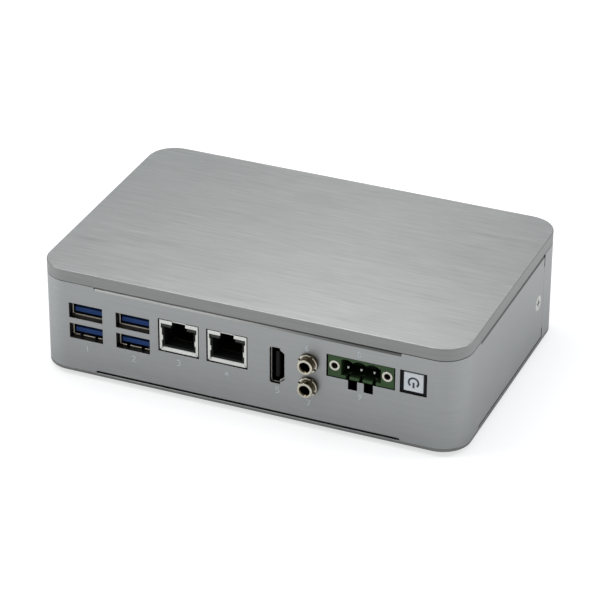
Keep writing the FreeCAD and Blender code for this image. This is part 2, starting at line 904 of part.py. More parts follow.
def network_insert(centre):
    """Black body with the plug's cavity and the latch's groove over it."""
    x0, x1, z0, z1, y0 = network_frame(centre)
    t = network_sheet
    front = y0 + t
    flap_room = block(x0, x1, y0, y0 + network_mitre_depth + t, z0, z0 + network_flap_rise + t)
    body = block(x0 + t, x1 - t, front, y0 + network_depth - t, z0 + t, z1 - t)
    low = z0 + cavity_floor
    cavity = block(centre - cavity_width / 2, centre + cavity_width / 2,
                   front - t, front + cavity_depth, low, low + cavity_height)
    latch = block(centre - latch_width / 2, centre + latch_width / 2,
                  front - t, front + cavity_depth, low, low + cavity_height + latch_height)
    key = block(centre - network_notch_width / 2, centre + network_notch_width / 2,
                front - t, front + network_rim, low, z1)
    cuts = [flap_room, cavity, latch, key]
    for side in (-1, 1):
        cuts.append(network_lamp(centre, side))
    return joined([body.cut(cuts), network_foot(centre)])


def network_foot(centre):
    """The body's seat on the board, which reaches through a window in the cage."""
    x0, x1, z0, z1, y0 = network_frame(centre)
    return block(x0 + network_rim, x1 - network_rim, board_front, y0 + network_depth - network_sheet,
                 z1 - network_sheet, board_under)


def network_lamp(centre, side):
    """One light pipe beside the latch groove, behind the cage's upper corner."""
    x0, x1, z0, z1, y0 = network_frame(centre)
    outer = x0 + network_rim if side < 0 else x1 - network_rim
    low_x, high_x = sorted((outer, outer - side * lamp_width))
    top = z1 - network_corner_drop
    front = y0 + network_sheet
    return block(low_x, high_x, front, front + lamp_depth, top - lamp_height, top)


def network_lamps(centre):
    """Both light pipes of one port."""
    return Part.makeCompound([network_lamp(centre, side) for side in (-1, 1)])


def network_contacts(centre):
    """Spring wires that rise from the cavity's floor towards the back."""
    x0, x1, z0, z1, y0 = network_frame(centre)
    low = z0 + cavity_floor
    back = y0 + network_sheet + cavity_depth
    start = back - wire_run
    wires = []
    for index in range(wire_count):
        x = centre + (index - (wire_count - 1) / 2) * wire_pitch - wire_width / 2
        points = [(start, low), (start + wire_width, low), (back, low + wire_rise),
                  (back, low + wire_rise + wire_width)]
        corners = [Vector(x, y, z) for y, z in points]
        wires.append(Part.Face(Part.makePolygon(corners + corners[:1])).extrude(Vector(wire_width, 0, 0)))
    return Part.makeCompound(wires)


def video_shell():
    """Sheet metal throat of the upright video port."""
    y0 = front_y + video_recess
    outer = video_prism(video_gap, y0, y0 + video_depth)
    return outer.cut(video_prism(video_gap + video_sheet, y0, y0 + video_depth))


def video_insert():
    """Moulded body behind the throat, with the contact tongue inside it."""
    y0 = front_y + video_recess
    y1 = y0 + video_depth
    z = board_under - video_drop
    plug = video_prism(video_gap + video_sheet, y1 - video_plug_depth, y1)
    x = video_centre + video_tongue_shift
    tongue = block(x - video_tongue_thickness / 2, x + video_tongue_thickness / 2,
                   y0 + video_sheet, y1, z - video_tongue_height / 2, z + video_tongue_height / 2)
    half = video_cut_width / 2 - video_gap
    tower = block(video_centre - half, video_centre + half, y1, y1 + video_tower_depth,
                  z - video_cut_height / 2 + video_gap, board_under)
    return joined([plug, tongue, tower])


def video_contacts():
    """Contact strips on both faces of the tongue."""
    strips = []
    x = video_centre + video_tongue_shift
    y0 = front_y + video_recess + video_sheet + video_contact_width
    z_middle = board_under - video_drop
    for side in (-1, 1):
        face = x + side * video_tongue_thickness / 2
        low, high = sorted((face, face + side * video_contact_thickness))
        for index in range(video_contact_count):
            z = z_middle + (index - (video_contact_count - 1) / 2) * video_contact_pitch
            strips.append(block(low, high, y0, y0 + video_contact_length,
                                z - video_contact_width / 2, z + video_contact_width / 2))
    return Part.makeCompound(strips)


def audio_barrel(level):
    """Turned sleeve with a flange behind the panel and a bore for the plug."""
    z = board_under - audio_drops[level]
    tip = Vector(audio_centre, front_y - audio_reach, z)
    sleeve = rod(audio_barrel_radius, audio_reach + wall + audio_flange_length, tip, BACK)
    flange = rod(audio_flange_radius, audio_flange_length, Vector(audio_centre, inner_front, z), BACK)
    barrel = joined([sleeve, flange])
    rim = [e for e in barrel.Edges if same(e.CenterOfMass.y, tip.y) and isinstance(e.Curve, Part.Circle)]
    barrel = barrel.makeFillet(audio_lip_round, rim)
    bore = rod(audio_bore_radius, audio_reach + wall + audio_flange_length, tip, BACK)
    mouth = Part.makeCone(audio_mouth_radius, audio_bore_radius, audio_mouth_depth, tip, BACK)
    return barrel.cut([bore, mouth])


def audio_nuts():
    """Round nuts with four driver slots, one on each sleeve."""
    nuts = []
    for drop in audio_drops.values():
        z = board_under - drop
        start = Vector(audio_centre, front_y - audio_nut_thickness, z)
        nut = rod(audio_nut_radius, audio_nut_thickness, start, BACK)
        rim = [e for e in nut.Edges if same(e.CenterOfMass.y, start.y) and isinstance(e.Curve, Part.Circle)]
        nut = nut.makeFillet(audio_lip_round, rim)
        cuts = [rod(audio_barrel_radius, audio_nut_thickness, start, BACK)]
        reach = 2 * (audio_nut_radius + overshoot)
        for wide, tall in ((audio_nut_slot, reach), (reach, audio_nut_slot)):
            slot = block(audio_centre - wide / 2, audio_centre + wide / 2,
                         start.y, start.y + audio_nut_slot_depth, z - tall / 2, z + tall / 2)
            slot.rotate(start, BACK, audio_nut_turn)
            cuts.append(slot)
        nuts.append(nut.cut(cuts))
    return Part.makeCompound(nuts)


def audio_housing():
    """Moulded tower behind both sleeves, up to the board."""
    y0 = inner_front + audio_flange_length
    y1 = y0 + audio_housing_depth
    low = board_under - audio_drops["lower"] - audio_flange_radius
    half = audio_housing_width / 2
    tower = block(audio_centre - half, audio_centre + half, y0, y1, low, board_under)
    holes = [rod(audio_bore_radius, audio_housing_bore, Vector(audio_centre, y0, board_under - drop), BACK)
             for drop in audio_drops.values()]
    return tower.cut(holes)


def terminal_nut_places():
    """Middle points of the two flange nuts."""
    return [terminal_centre + side * terminal_nut_spacing / 2 for side in (-1, 1)]


def terminal_pin_places():
    """Middle points of the pins along the header."""
    first = terminal_centre + terminal_pole_shift - (terminal_poles - 1) / 2 * terminal_pitch
    return [first + index * terminal_pitch for index in range(terminal_poles)]


def terminal_header():
    """Green header with flanges and a cavity whose roof has one arc for each pole."""
    x0 = terminal_centre - terminal_width / 2
    x1 = terminal_centre + terminal_width / 2
    y0 = front_y + terminal_recess
    y1 = y0 + terminal_depth
    top = board_under - terminal_top_drop
    low = top - terminal_height
    body = block(x0, x1, y0, y1, low, top)
    foot = block(x0, x1, board_front, y1, top, board_under)
    body = joined([body, foot])
    roof = top - terminal_cavity_top_drop
    floor = low + terminal_floor
    cavity_end = y0 + terminal_cavity_depth
    half = terminal_cavity_width / 2
    cuts = [block(terminal_centre - half, terminal_centre + half, y0, cavity_end, floor, roof)]
    above = block(terminal_centre - half, terminal_centre + half, y0, cavity_end, roof, top)
    arc_radius = ((terminal_pitch / 2) ** 2 + terminal_arc_rise ** 2) / (2 * terminal_arc_rise)
    for x in terminal_pin_places():
        arc_centre = Vector(x, y0, roof + terminal_arc_rise - arc_radius)
        cuts.append(rod(arc_radius, terminal_cavity_depth, arc_centre, BACK).common(above))
        slit = x - terminal_pole_shift
        cuts.append(block(slit - terminal_slit / 2, slit + terminal_slit / 2,
                          y0, y0 + terminal_slit_depth, low, floor))
    for x in terminal_nut_places():
        z = board_under - terminal_nut_drop
        cuts.append(rod(terminal_nut_radius, terminal_cavity_depth, Vector(x, y0, z), BACK))
    cuts.append(terminal_pins())
    return body.cut(cuts)


def terminal_pins():
    """Square pins that look out of the cavity and turn up to the board at the back."""
    z = board_under - terminal_pin_drop
    y0 = front_y + terminal_recess + terminal_pin_recess
    y1 = front_y + terminal_recess + terminal_depth
    half = terminal_pin / 2
    pins = []
    for x in terminal_pin_places():
        shaft = block(x - half, x + half, y0, y1 + terminal_pin, z - half, z + half)
        ends = [e for e in shaft.Edges if same(e.CenterOfMass.y, y0)]
        shaft = shaft.makeChamfer(terminal_pin_tip, ends)
        leg = block(x - half, x + half, y1, y1 + terminal_pin, z - half, board_under)
        pins.append(joined([shaft, leg]))
    return Part.makeCompound(pins)


def terminal_nuts():
    """Threaded bushes in the header's flanges."""
    y0 = front_y + terminal_recess
    z = board_under - terminal_nut_drop
    nuts = []
    for x in terminal_nut_places():
        start = Vector(x, y0 - terminal_nut_proud, z)
        length = terminal_cavity_depth + terminal_nut_proud
        bore = rod(terminal_nut_bore, length, start, BACK)
        nuts.append(rod(terminal_nut_radius, length, start, BACK).cut(bore))
    return Part.makeCompound(nuts)


def switch_housing():
    """Square switch body: bezel in the panel, guide for the cap and pocket behind it."""
    z = board_under - switch_drop
    half_x = switch_cut_width / 2 - switch_gap
    half_z = switch_cut_height / 2 - switch_gap
    y0 = front_y + switch_recess
    y1 = front_y + switch_depth
    body = block(switch_centre - half_x, switch_centre + half_x, y0, y1, z - half_z, z + half_z)
    foot = block(switch_centre - half_x, switch_centre + half_x, board_front, y1, z + half_z, board_under)
    guide_x = cap_width / 2 + cap_clearance
    guide_z = cap_height / 2 + cap_clearance
    cap_z = z + cap_lift
    guide = block(switch_centre - guide_x, switch_centre + guide_x, y0, front_y + switch_shoulder,
                  cap_z - guide_z, cap_z + guide_z)
    pocket_x = guide_x + cap_flange
    pocket = block(switch_centre - pocket_x, switch_centre + pocket_x, front_y + switch_shoulder,
                   front_y + switch_shoulder + switch_pocket, cap_z - guide_z, cap_z + guide_z)
    return joined([body, foot]).cut([guide, pocket])


def switch_cap():
    """White push cap with a retaining flange and a stem towards the snap dome."""
    z = board_under - switch_drop + cap_lift
    y0 = front_y + cap_recess
    shoulder = front_y + switch_shoulder + cap_play
    head = block(switch_centre - cap_width / 2, switch_centre + cap_width / 2, y0, shoulder,
                 z - cap_height / 2, z + cap_height / 2)
    front_edges = [e for e in head.Edges if same(e.CenterOfMass.y, y0)]
    head = head.makeFillet(cap_edge_round, front_edges)
    reach = cap_width / 2 + cap_flange
    flange = block(switch_centre - reach, switch_centre + reach, shoulder, shoulder + cap_flange_length,
                   z - cap_height / 2, z + cap_height / 2)
    stem_end = front_y + switch_shoulder + switch_pocket - dome_rise - dome_clearance - switch_travel
    stem = rod(stem_radius, stem_end - shoulder, Vector(switch_centre, shoulder, z), BACK)
    return joined([head, flange, stem])


def switch_dome():
    """Thin metal snap dome on the pocket's back wall."""
    z = board_under - switch_drop + cap_lift
    floor = front_y + switch_shoulder + switch_pocket
    ball = (dome_radius ** 2 + dome_rise ** 2) / (2 * dome_rise)
    centre_y = floor - dome_rise + ball
    rings = []
    for radius in (ball, ball - dome_sheet):
        spread_angle = math.acos((centre_y - floor) / radius)
        rings.append([Vector(switch_centre + radius * math.sin(angle), centre_y - radius * math.cos(angle), z)
                      for angle in (0, spread_angle / 2, spread_angle)])
    outer, inner = rings
    edges = [Part.Arc(*outer).toShape(), Part.makeLine(outer[2], inner[2]),
             Part.Arc(*inner[::-1]).toShape(), Part.makeLine(inner[0], outer[0])]
    profile = Part.Face(Part.Wire(edges))
    return profile.revolve(Vector(switch_centre, 0, z), BACK, 360)


def memory_socket():
    """Low socket with two side arms that hold the memory card."""
    x, y = memory_x, memory_y
    y0 = y - memory_depth / 2 - memory_socket_depth + memory_bite
    low = board_under - memory_socket_height
    half = memory_socket_width / 2
    pieces = [block(x - half, x + half, y0, y0 + memory_socket_depth, low, board_under)]
    for side in (-1, 1):
        outer = x + side * half
        x0, x1 = sorted((outer, outer - side * memory_arm))
        pieces.append(block(x0, x1, y0, y + memory_depth / 2, low, board_under))
    return joined(pieces).cut(memory_card_blank())


def memory_card_blank():
    """The bare memory card."""
    x, y = memory_x, memory_y
    top = board_under - memory_drop
    return centred_block(x, y, memory_width, memory_depth, top - memory_thickness, top)


def memory_module():
    """Memory card with its chips on both faces."""
    x, y = memory_x, memory_y
    top = board_under - memory_drop
    chips = []
    pitch = memory_width / memory_chip_count
    for index in range(memory_chip_count):
        chip_x = x + (index - (memory_chip_count - 1) / 2) * pitch
        for z0 in (top, top - memory_thickness - memory_chip_height):
            chips.append(centred_block(chip_x, y + memory_bite / 2, memory_chip_width, memory_chip_depth,
                                       z0, z0 + memory_chip_height))
    return joined([memory_card_blank()] + chips)


def storage_card_blank():
    """The bare storage card."""
    x, y = storage_x, storage_y
    top = board_under - storage_drop
    return centred_block(x, y, storage_width, storage_depth, top - storage_thickness, top)


def storage_socket():
    """Socket that grips the storage card's front edge."""
    x, y = storage_x, storage_y
    y1 = y - storage_depth / 2 + storage_bite
    low = board_under - storage_socket_height
    return centred_block(x, y1 - storage_socket_depth / 2, storage_width, storage_socket_depth,
                         low, board_under).cut(storage_card_blank())


def storage_module():
    """Storage card with two memory chips and two screw holes."""
    x, y = storage_x, storage_y
    low = board_under - storage_drop - storage_thickness
    chips = [centred_block(x, y + side * storage_chip_offset, storage_chip_width, storage_chip_depth,
                           low - memory_chip_height, low) for side in (-1, 1)]
    card = joined([storage_card_blank()] + chips)
    return card.cut([rod(storage_screw_radius, storage_thickness, Vector(px, py, low), UP)
                     for px, py in storage_post_places()])


def storage_post_places():
    """Screw places at the storage card's far corners."""
    x, y = storage_x, storage_y
    return [(x + side * (storage_width / 2 - storage_post_inset), y + storage_depth / 2 - storage_post_inset)
            for side in (-1, 1)]


def storage_posts():
    """Threaded spacers under the board for the storage card."""
    posts = []
    for x, y in storage_post_places():
        start = Vector(x, y, board_under - storage_drop)
        posts.append(rod(storage_post_radius, storage_drop, start, UP).cut(
            rod(storage_screw_radius, storage_drop, start, UP)))
    return Part.makeCompound(posts)


def storage_screws():
    """Small screws that hold the storage card to its spacers."""
    screws = []
    low = board_under - storage_drop - storage_thickness
    for x, y in storage_post_places():
        start = Vector(x, y, low - storage_screw_head_height)
        head = rod(storage_screw_head, storage_screw_head_height, start, UP)
        shank = rod(storage_screw_radius, storage_drop + storage_thickness, Vector(x, y, low), UP)
        screws.append(joined([head, shank]))
    return Part.makeCompound(screws)


def battery_holder():
    """Shallow round tray for the clock battery."""
    x, y = battery_x, row_y
    depth = battery_seat + battery_thickness
    start = Vector(x, y, board_under - depth)
    tray = rod(battery_radius + battery_wall, depth, start, UP)
    return tray.cut(rod(battery_radius, battery_thickness, start, UP))


def clock_battery():
    """Coin battery in the tray."""
    x, y = battery_x, row_y
    depth = battery_seat + battery_thickness
    return rod(battery_radius, battery_thickness, Vector(x, y, board_under - depth), UP)


def choke(index):
    """One square coil under the board."""
    x = choke_row_x + (index - (choke_count - 1) / 2) * choke_pitch
    body = centred_block(x, row_y, choke_width, choke_width, board_under - choke_height, board_under)
    return body.makeFillet(choke_round, edges_along(body, UP))


def capacitor(index):
    """One upright can under the board."""
    x = capacitor_row_x + (index - (capacitor_count - 1) / 2) * capacitor_pitch
    return rod(capacitor_radius, capacitor_height, Vector(x, row_y, board_under - capacitor_height), UP)


def sub_parts():
    """Every sub-part by its node name."""
    parts = {
        "lid": lid(),
        "front_wrap": front_wrap(),
        "rear_wrap": rear_wrap(),
        "base_plate": base_plate(),
        "corner_posts": corner_posts(),
        "base_screws": base_screws(),
        "side_screws": side_screws(),
        "mount_nuts": mount_nuts(),
        "main_board": main_board(),
        "board_screws": board_screws(),
        "processor": processor(),
        "thermal_pad": thermal_pad(),
        "heat_block": heat_block(),
        "heat_block_screws": heat_block_screws(),
        "video_shell": video_shell(),
        "video_insert": video_insert(),
        "video_contacts": video_contacts(),
        "audio_housing": audio_housing(),
        "audio_nuts": audio_nuts(),
        "terminal_header": terminal_header(),
        "terminal_pins": terminal_pins(),
        "terminal_nuts": terminal_nuts(),
        "switch_housing": switch_housing(),
        "switch_cap": switch_cap(),
        "switch_dome": switch_dome(),
        "memory_socket": memory_socket(),
        "memory_module": memory_module(),
        "storage_socket": storage_socket(),
        "storage_module": storage_module(),
        "storage_posts": storage_posts(),
        "storage_screws": storage_screws(),
        "battery_holder": battery_holder(),
        "clock_battery": clock_battery(),
    }
    for number, (x, y) in enumerate(foot_places(), start=1):
        parts[f"rubber_foot_{number}"] = rubber_foot(x, y)
    for side, centre in usb_centres.items():
        parts[f"usb_shell_{side}"] = usb_shell(centre)
        parts[f"usb_insert_{side}"] = usb_insert(centre)
        parts[f"usb_contacts_{side}"] = usb_contacts(centre)
    for side, centre in network_centres.items():
        parts[f"network_shell_{side}"] = network_shell(centre)
        parts[f"network_insert_{side}"] = network_insert(centre)
        parts[f"network_lamps_{side}"] = network_lamps(centre)
        parts[f"network_contacts_{side}"] = network_contacts(centre)
    for level in audio_drops:
        parts[f"audio_barrel_{level}"] = audio_barrel(level)
    for index in range(choke_count):
        parts[f"choke_{index + 1}"] = choke(index)
    for index in range(capacitor_count):
        parts[f"capacitor_{index + 1}"] = capacitor(index)
    return parts


os.makedirs("parts", exist_ok=True)
for node, shape in sub_parts().items():
    shape.exportStep(f"parts/{node}.step")
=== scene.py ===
import json
import math

import bpy
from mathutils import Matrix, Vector


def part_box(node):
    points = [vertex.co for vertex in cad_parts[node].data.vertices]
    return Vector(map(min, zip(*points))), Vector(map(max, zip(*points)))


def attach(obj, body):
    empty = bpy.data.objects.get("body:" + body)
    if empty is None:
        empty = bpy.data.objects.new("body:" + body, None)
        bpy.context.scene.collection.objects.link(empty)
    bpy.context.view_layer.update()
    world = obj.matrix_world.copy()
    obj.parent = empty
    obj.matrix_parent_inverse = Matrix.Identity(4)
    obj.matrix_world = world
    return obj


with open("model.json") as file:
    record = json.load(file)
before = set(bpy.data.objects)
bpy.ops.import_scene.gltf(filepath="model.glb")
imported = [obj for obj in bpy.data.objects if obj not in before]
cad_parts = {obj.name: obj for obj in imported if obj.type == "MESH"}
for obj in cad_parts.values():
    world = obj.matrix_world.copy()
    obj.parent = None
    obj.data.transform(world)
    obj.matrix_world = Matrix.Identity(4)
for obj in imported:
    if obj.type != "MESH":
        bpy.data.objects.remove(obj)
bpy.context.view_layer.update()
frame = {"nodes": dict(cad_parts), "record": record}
MM = 0.001


def box_of(node):
    """Lowest and highest corner of a CAD node, in millimetres."""
    low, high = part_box(node)
    return low / MM, high / MM


# Front wall, in millimetres: its faces, the land along its top, and the zone that holds the ports
WALL = 2.0
LAND = 1.8
BELOW_PORTS = 2.0
PORTS_HALF = 73.0
wrap_low, wrap_high = box_of("front_wrap")
FRONT = wrap_low.y
INNER_FRONT = FRONT + WALL
LAND_LOW = wrap_high.z - LAND
PORTS_LOW = wrap_low.z + BELOW_PORTS

# Paint on the wall, in millimetres: a cut edge starts behind the outer face and ends past the inner one,
# the land starts above its lower edge, and the painted highlight on the land fades between two places along X
EDGE_BEHIND = 0.06
EDGE_PAST = 0.05
LAND_INSET = 0.4
HIGHLIGHT_FROM = -20.0
HIGHLIGHT_TO = 45.0

# Throats and tongues of the serial ports, in millimetres
THROAT_INSET = 0.65
THROAT_HEIGHT = 4.8
THROAT_PITCH = 8.6
TONGUE_GAP = 0.75
TONGUE_THICKNESS = 1.84
TONGUE_SKIN = 0.05
SHINY_EDGE = 0.3
BESIDE_CAGE = 0.35
SERIAL_CAGES = [box_of(f"usb_shell_{place}") for place in ("left", "right")]
cage_low, cage_high = SERIAL_CAGES[1]
SERIAL_RIGHT = cage_high.x + BESIDE_CAGE
THROAT_HALF = (cage_high.x - cage_low.x) / 2 - THROAT_INSET
THROAT_BOTTOMS = [cage_low.z + THROAT_INSET + row * THROAT_PITCH for row in (0, 1)]
TONGUE_BACK = box_of("usb_contacts_left")[1].y

# Radius of softened edges, in millimetres
SOFT_EDGE = 0.1


class Wiring:
    """Adds nodes to a tree. Each value is a plain one or the output of another node."""

    def __init__(self, tree):
        self.tree = tree

    def node(self, kind, **settings):
        made = self.tree.nodes.new(kind)
        for key, value in settings.items():
            setattr(made, key, value)
        return made

    def put(self, socket, value):
        """Links an output to a socket, or sets a plain value."""
        if isinstance(value, bpy.types.NodeSocket):
            self.tree.links.new(value, socket)
        elif isinstance(value, tuple) and socket.type == "RGBA":
            socket.default_value = (*value, 1)
        else:
            socket.default_value = value

    def fill(self, made, **sockets):
        """Puts values into the sockets of a node, with _ for each space in their names."""
        for socket, value in sockets.items():
            self.put(made.inputs[socket.replace("_", " ")], value)
        return made

    def joined(self, kind, *values, **settings):
        """A node whose first sockets take the values in turn."""
        made = self.node(kind, **settings)
        for socket, value in zip(made.inputs, values):
            self.put(socket, value)
        return made

    def math(self, operation, a, b=0.0):
        return self.joined("ShaderNodeMath", a, b, operation=operation).outputs[0]

    def product(self, first, *others):
        for other in others:
            first = self.math("MULTIPLY", first, other)
        return first

    def linear(self, value, factor, offset):
        """Value times factor, plus offset."""
        return self.math("ADD", self.math("MULTIPLY", value, factor), offset)

    def between(self, value, low, high):
        """1 from low to high, and 0 elsewhere."""
        return self.product(self.math("GREATER_THAN", value, low), self.math("LESS_THAN", value, high))

    def span(self, value, low, high, a=0.0, b=1.0):
        """Maps low..high to a..b, smoothly and clamped."""
        ramp = self.joined("ShaderNodeMapRange", value, low, high, a, b, interpolation_type="SMOOTHSTEP")
        return ramp.outputs[0]

    def own_place(self):
        """Place in the object's own frame, in metres."""
        return self.node("ShaderNodeTexCoord").outputs["Object"]

    def part_of(self, vector, axis):
        return self.joined("ShaderNodeSeparateXYZ", vector).outputs[axis]

    def vector(self, x, y, z):
        return self.joined("ShaderNodeCombineXYZ", x, y, z).outputs[0]


class Paint(Wiring):
    """Builds one node material. Noise has its fineness in features per metre."""

    def __init__(self, name, **sockets):
        self.material = bpy.data.materials.new(name)
        self.material.use_nodes = True
        super().__init__(self.material.node_tree)
        self.shader = self.tree.nodes["Principled BSDF"]
        self.place = self.own_place()
        self.fill(self.shader, **sockets)

    def stretched(self, scale):
        """The place times a scale, or times one scale for each axis."""
        scales = scale if isinstance(scale, tuple) else (scale, scale, scale)
        made = self.joined("ShaderNodeVectorMath", self.place, scales, operation="MULTIPLY")
        return made.outputs[0]

    def noise(self, scale, detail=2.0, roughness=0.5):
        made = self.node("ShaderNodeTexNoise")
        vector = self.stretched(scale)
        self.fill(made, Vector=vector, Scale=1.0, Detail=detail, Roughness=roughness)
        return made.outputs["Fac"]

    def mix(self, factor, a, b):
        """Colour a where factor is 0, and b where it is 1. A mix node keeps its colours at 6 and 7."""
        made = self.node("ShaderNodeMix", data_type="RGBA")
        for index, value in ((0, factor), (6, a), (7, b)):
            self.put(made.inputs[index], value)
        return made.outputs[2]

    def shade(self, colour, amount):
        """A colour made lighter or darker by a factor that varies over the surface."""
        made = self.joined("ShaderNodeVectorMath", colour, operation="SCALE")
        return self.fill(made, Scale=amount).outputs[0]

    def normal(self):
        return self.node("ShaderNodeNewGeometry").outputs["Normal"]

    def facing(self, axis):
        """How squarely the surface faces along an axis, either way."""
        return self.math("ABSOLUTE", self.part_of(self.normal(), axis))

    def off_middle(self, axis):
        """Distance from the middle plane of an axis, in metres."""
        return self.math("ABSOLUTE", self.part_of(self.place, axis))

    def painted_recess_shade(self, node, axis, start, end, share):
        """1 at a CAD node's outer face, and down to a share between two depths in millimetres below it, as
        painted shade in a recess.
        """
        outer = abs(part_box(node)[0][axis])
        return self.span(self.off_middle(axis), outer - start * MM, outer - end * MM, 1.0, share)

    def bump(self, height, distance, strength, base=None):
        """A normal with the height pressed into it, to a distance in millimetres."""
        made = self.node("ShaderNodeBump")
        self.fill(made, Strength=strength, Distance=distance * MM, Height=height)
        if base is not None:
            self.fill(made, Normal=base)
        return made.outputs[0]

    def soft_edges(self, radius=SOFT_EDGE):
        """A shading normal that rounds the edges off a little."""
        return self.fill(self.node("ShaderNodeBevel", samples=4), Radius=radius * MM).outputs[0]

    def edge_wear(self):
        """1 on edges and 0 on flat faces."""
        operation = "DOT_PRODUCT"
        made = self.joined("ShaderNodeVectorMath", self.soft_edges(), self.normal(), operation=operation)
        return self.span(made.outputs["Value"], 0.995, 0.85)

    def finish(self, **sockets):
        self.fill(self.shader, **sockets)
        return self.material


def streaks(paint, fine, coarse, slow=55.0, on_top=False):
    """Brushing marks around 0, which run level round upright walls or along X on top."""
    thin = paint.noise((slow, fine if on_top else slow, fine), detail=3.0, roughness=0.65)
    slower = slow / 2
    wide = paint.noise((slower, coarse if on_top else slower, coarse), detail=2.0, roughness=0.6)
    both = paint.math("ADD", paint.math("MULTIPLY", thin, 0.6), paint.math("MULTIPLY", wide, 0.4))
    return paint.math("SUBTRACT", both, 0.5)


def brushed(paint, colour, marks, amount):
    """A colour that varies with the brushing marks and with slow clouds."""
    cloud = paint.math("SUBTRACT", paint.noise((14, 18, 14), detail=1.0), 0.5)
    varied = paint.math("ADD", paint.math("MULTIPLY", cloud, 0.05), paint.math("MULTIPLY", marks, amount))
    return paint.shade(colour, paint.math("ADD", varied, 1.0))


def brushed_lid():
    """Lid: its top brushed along X, its rim and the rest in a plainer and darker finish, which the chamfer
    round the top takes as painted shade.
    """
    paint = Paint("brushed_lid", Metallic=1.0, Anisotropic=0.6)
    # up is 1 only on the flat top, so the chamfer round it gets the rim's darker colour as painted shade
    up = paint.span(paint.part_of(paint.normal(), 2), 0.85, 0.97)
    top_marks = streaks(paint, fine=2600.0, coarse=1400.0, slow=75.0, on_top=True)
    rim_marks = streaks(paint, fine=1500.0, coarse=900.0)
    top = brushed(paint, (0.45, 0.456, 0.45), top_marks, 0.85)
    rim = brushed(paint, (0.3, 0.302, 0.297), rim_marks, 0.3)
    return paint.finish(Base_Color=paint.mix(up, rim, top),
                        Roughness=paint.linear(top_marks, 0.3, 0.42),
                        Normal=paint.bump(top_marks, 0.03, 0.35, paint.soft_edges()),
                        Tangent=paint.vector(0.0, up, paint.math("SUBTRACT", 1.0, up)))


def port_edges(paint):
    """1 on the cut edges of the port openings in the front wall."""
    y = paint.part_of(paint.place, 1)
    z = paint.part_of(paint.place, 2)
    return paint.product(paint.math("LESS_THAN", paint.facing(1), 0.5),
                         paint.between(y, (FRONT + EDGE_BEHIND) * MM, (INNER_FRONT + EDGE_PAST) * MM),
                         paint.between(z, PORTS_LOW * MM, LAND_LOW * MM),
                         paint.math("LESS_THAN", paint.off_middle(0), PORTS_HALF * MM))


def brushed_wrap(name):
    """Wraps: level brushing marks all round, dark cut edges in the ports, and a painted highlight on the land
    on top, fading from left to right.
    """
    paint = Paint(name, Metallic=1.0, Anisotropic=0.5)
    marks = streaks(paint, fine=1500.0, coarse=600.0)
    colour = brushed(paint, (0.4, 0.408, 0.408), marks, 0.4)
    x = paint.part_of(paint.place, 0)
    z = paint.part_of(paint.place, 2)
    up = paint.part_of(paint.normal(), 2)
    serial_floors = paint.product(paint.math("GREATER_THAN", up, 0.5),
                                  paint.math("LESS_THAN", x, SERIAL_RIGHT * MM))
    dark = paint.mix(serial_floors, (0.012, 0.012, 0.012), (0.075, 0.068, 0.055))
    colour = paint.mix(port_edges(paint), colour, dark)
    # Painted highlight: the land along the top of the wall is lighter, brightest at the left and fading
    # towards the right
    land = paint.product(paint.math("GREATER_THAN", z, (LAND_LOW + LAND_INSET) * MM),
                         paint.math("GREATER_THAN", up, 0.25))
    land_highlight = paint.shade((0.53, 0.53, 0.51), paint.span(x, HIGHLIGHT_FROM * MM, HIGHLIGHT_TO * MM, 1.0, 0.3))
    return paint.finish(Base_Color=paint.mix(land, colour, land_highlight),
                        Roughness=paint.linear(marks, 0.4, 0.44),
                        Normal=paint.bump(marks, 0.02, 0.3, paint.soft_edges(0.15)),
                        Tangent=paint.vector(0.0, 0.0, 1.0))


def worn_metal(name, base, roughness, turned=None, deep=None, sides=None):
    """Plated or plain metal: fine grain, clouds, brighter edges.

    Turned is the axis, pitch and depth of turning marks, in millimetres. Deep is what Paint.sinking takes:
    painted shade that darkens the piece down into a recess.
    Sides is the colour of the walls round a turned piece, which have the rings of a thread."""
    paint = Paint(name, Metallic=1.0)
    grain = paint.noise(1500, detail=3.0)
    cloud = paint.noise(160)
    level = paint.math("ADD", paint.math("MULTIPLY", grain, 0.16), paint.math("MULTIPLY", cloud, 0.22))
    level = paint.math("ADD", level, 0.82)
    level = paint.math("ADD", level, paint.math("MULTIPLY", paint.edge_wear(), 0.35))
    # Painted shade: darker down into the recess
    if deep is not None:
        level = paint.product(level, paint.painted_recess_shade(*deep))
    colour = paint.shade(base, level)
    height, depth = grain, 0.006
    if turned is not None:
        axis, pitch, depth = turned
        turns = paint.math("MULTIPLY", paint.part_of(paint.place, axis), 2 * math.pi / (pitch * MM))
        wave = paint.math("SINE", turns)
        height = paint.math("ADD", paint.math("MULTIPLY", wave, 0.5), paint.math("MULTIPLY", grain, 0.05))
        if sides is not None:
            # The walls take the brown sides colour, darker than the faces partly as painted shade, and the
            # thread's rings are painted on as light and dark bands of painted shade
            wall = paint.math("LESS_THAN", paint.facing(axis), 0.65)
            colour = paint.mix(wall, colour, paint.shade(sides, paint.linear(wave, 0.45, 0.6)))
    return paint.finish(Base_Color=colour,
                        Roughness=paint.linear(grain, 0.15, roughness - 0.07),
                        Normal=paint.bump(height, depth, 0.6, paint.soft_edges()))


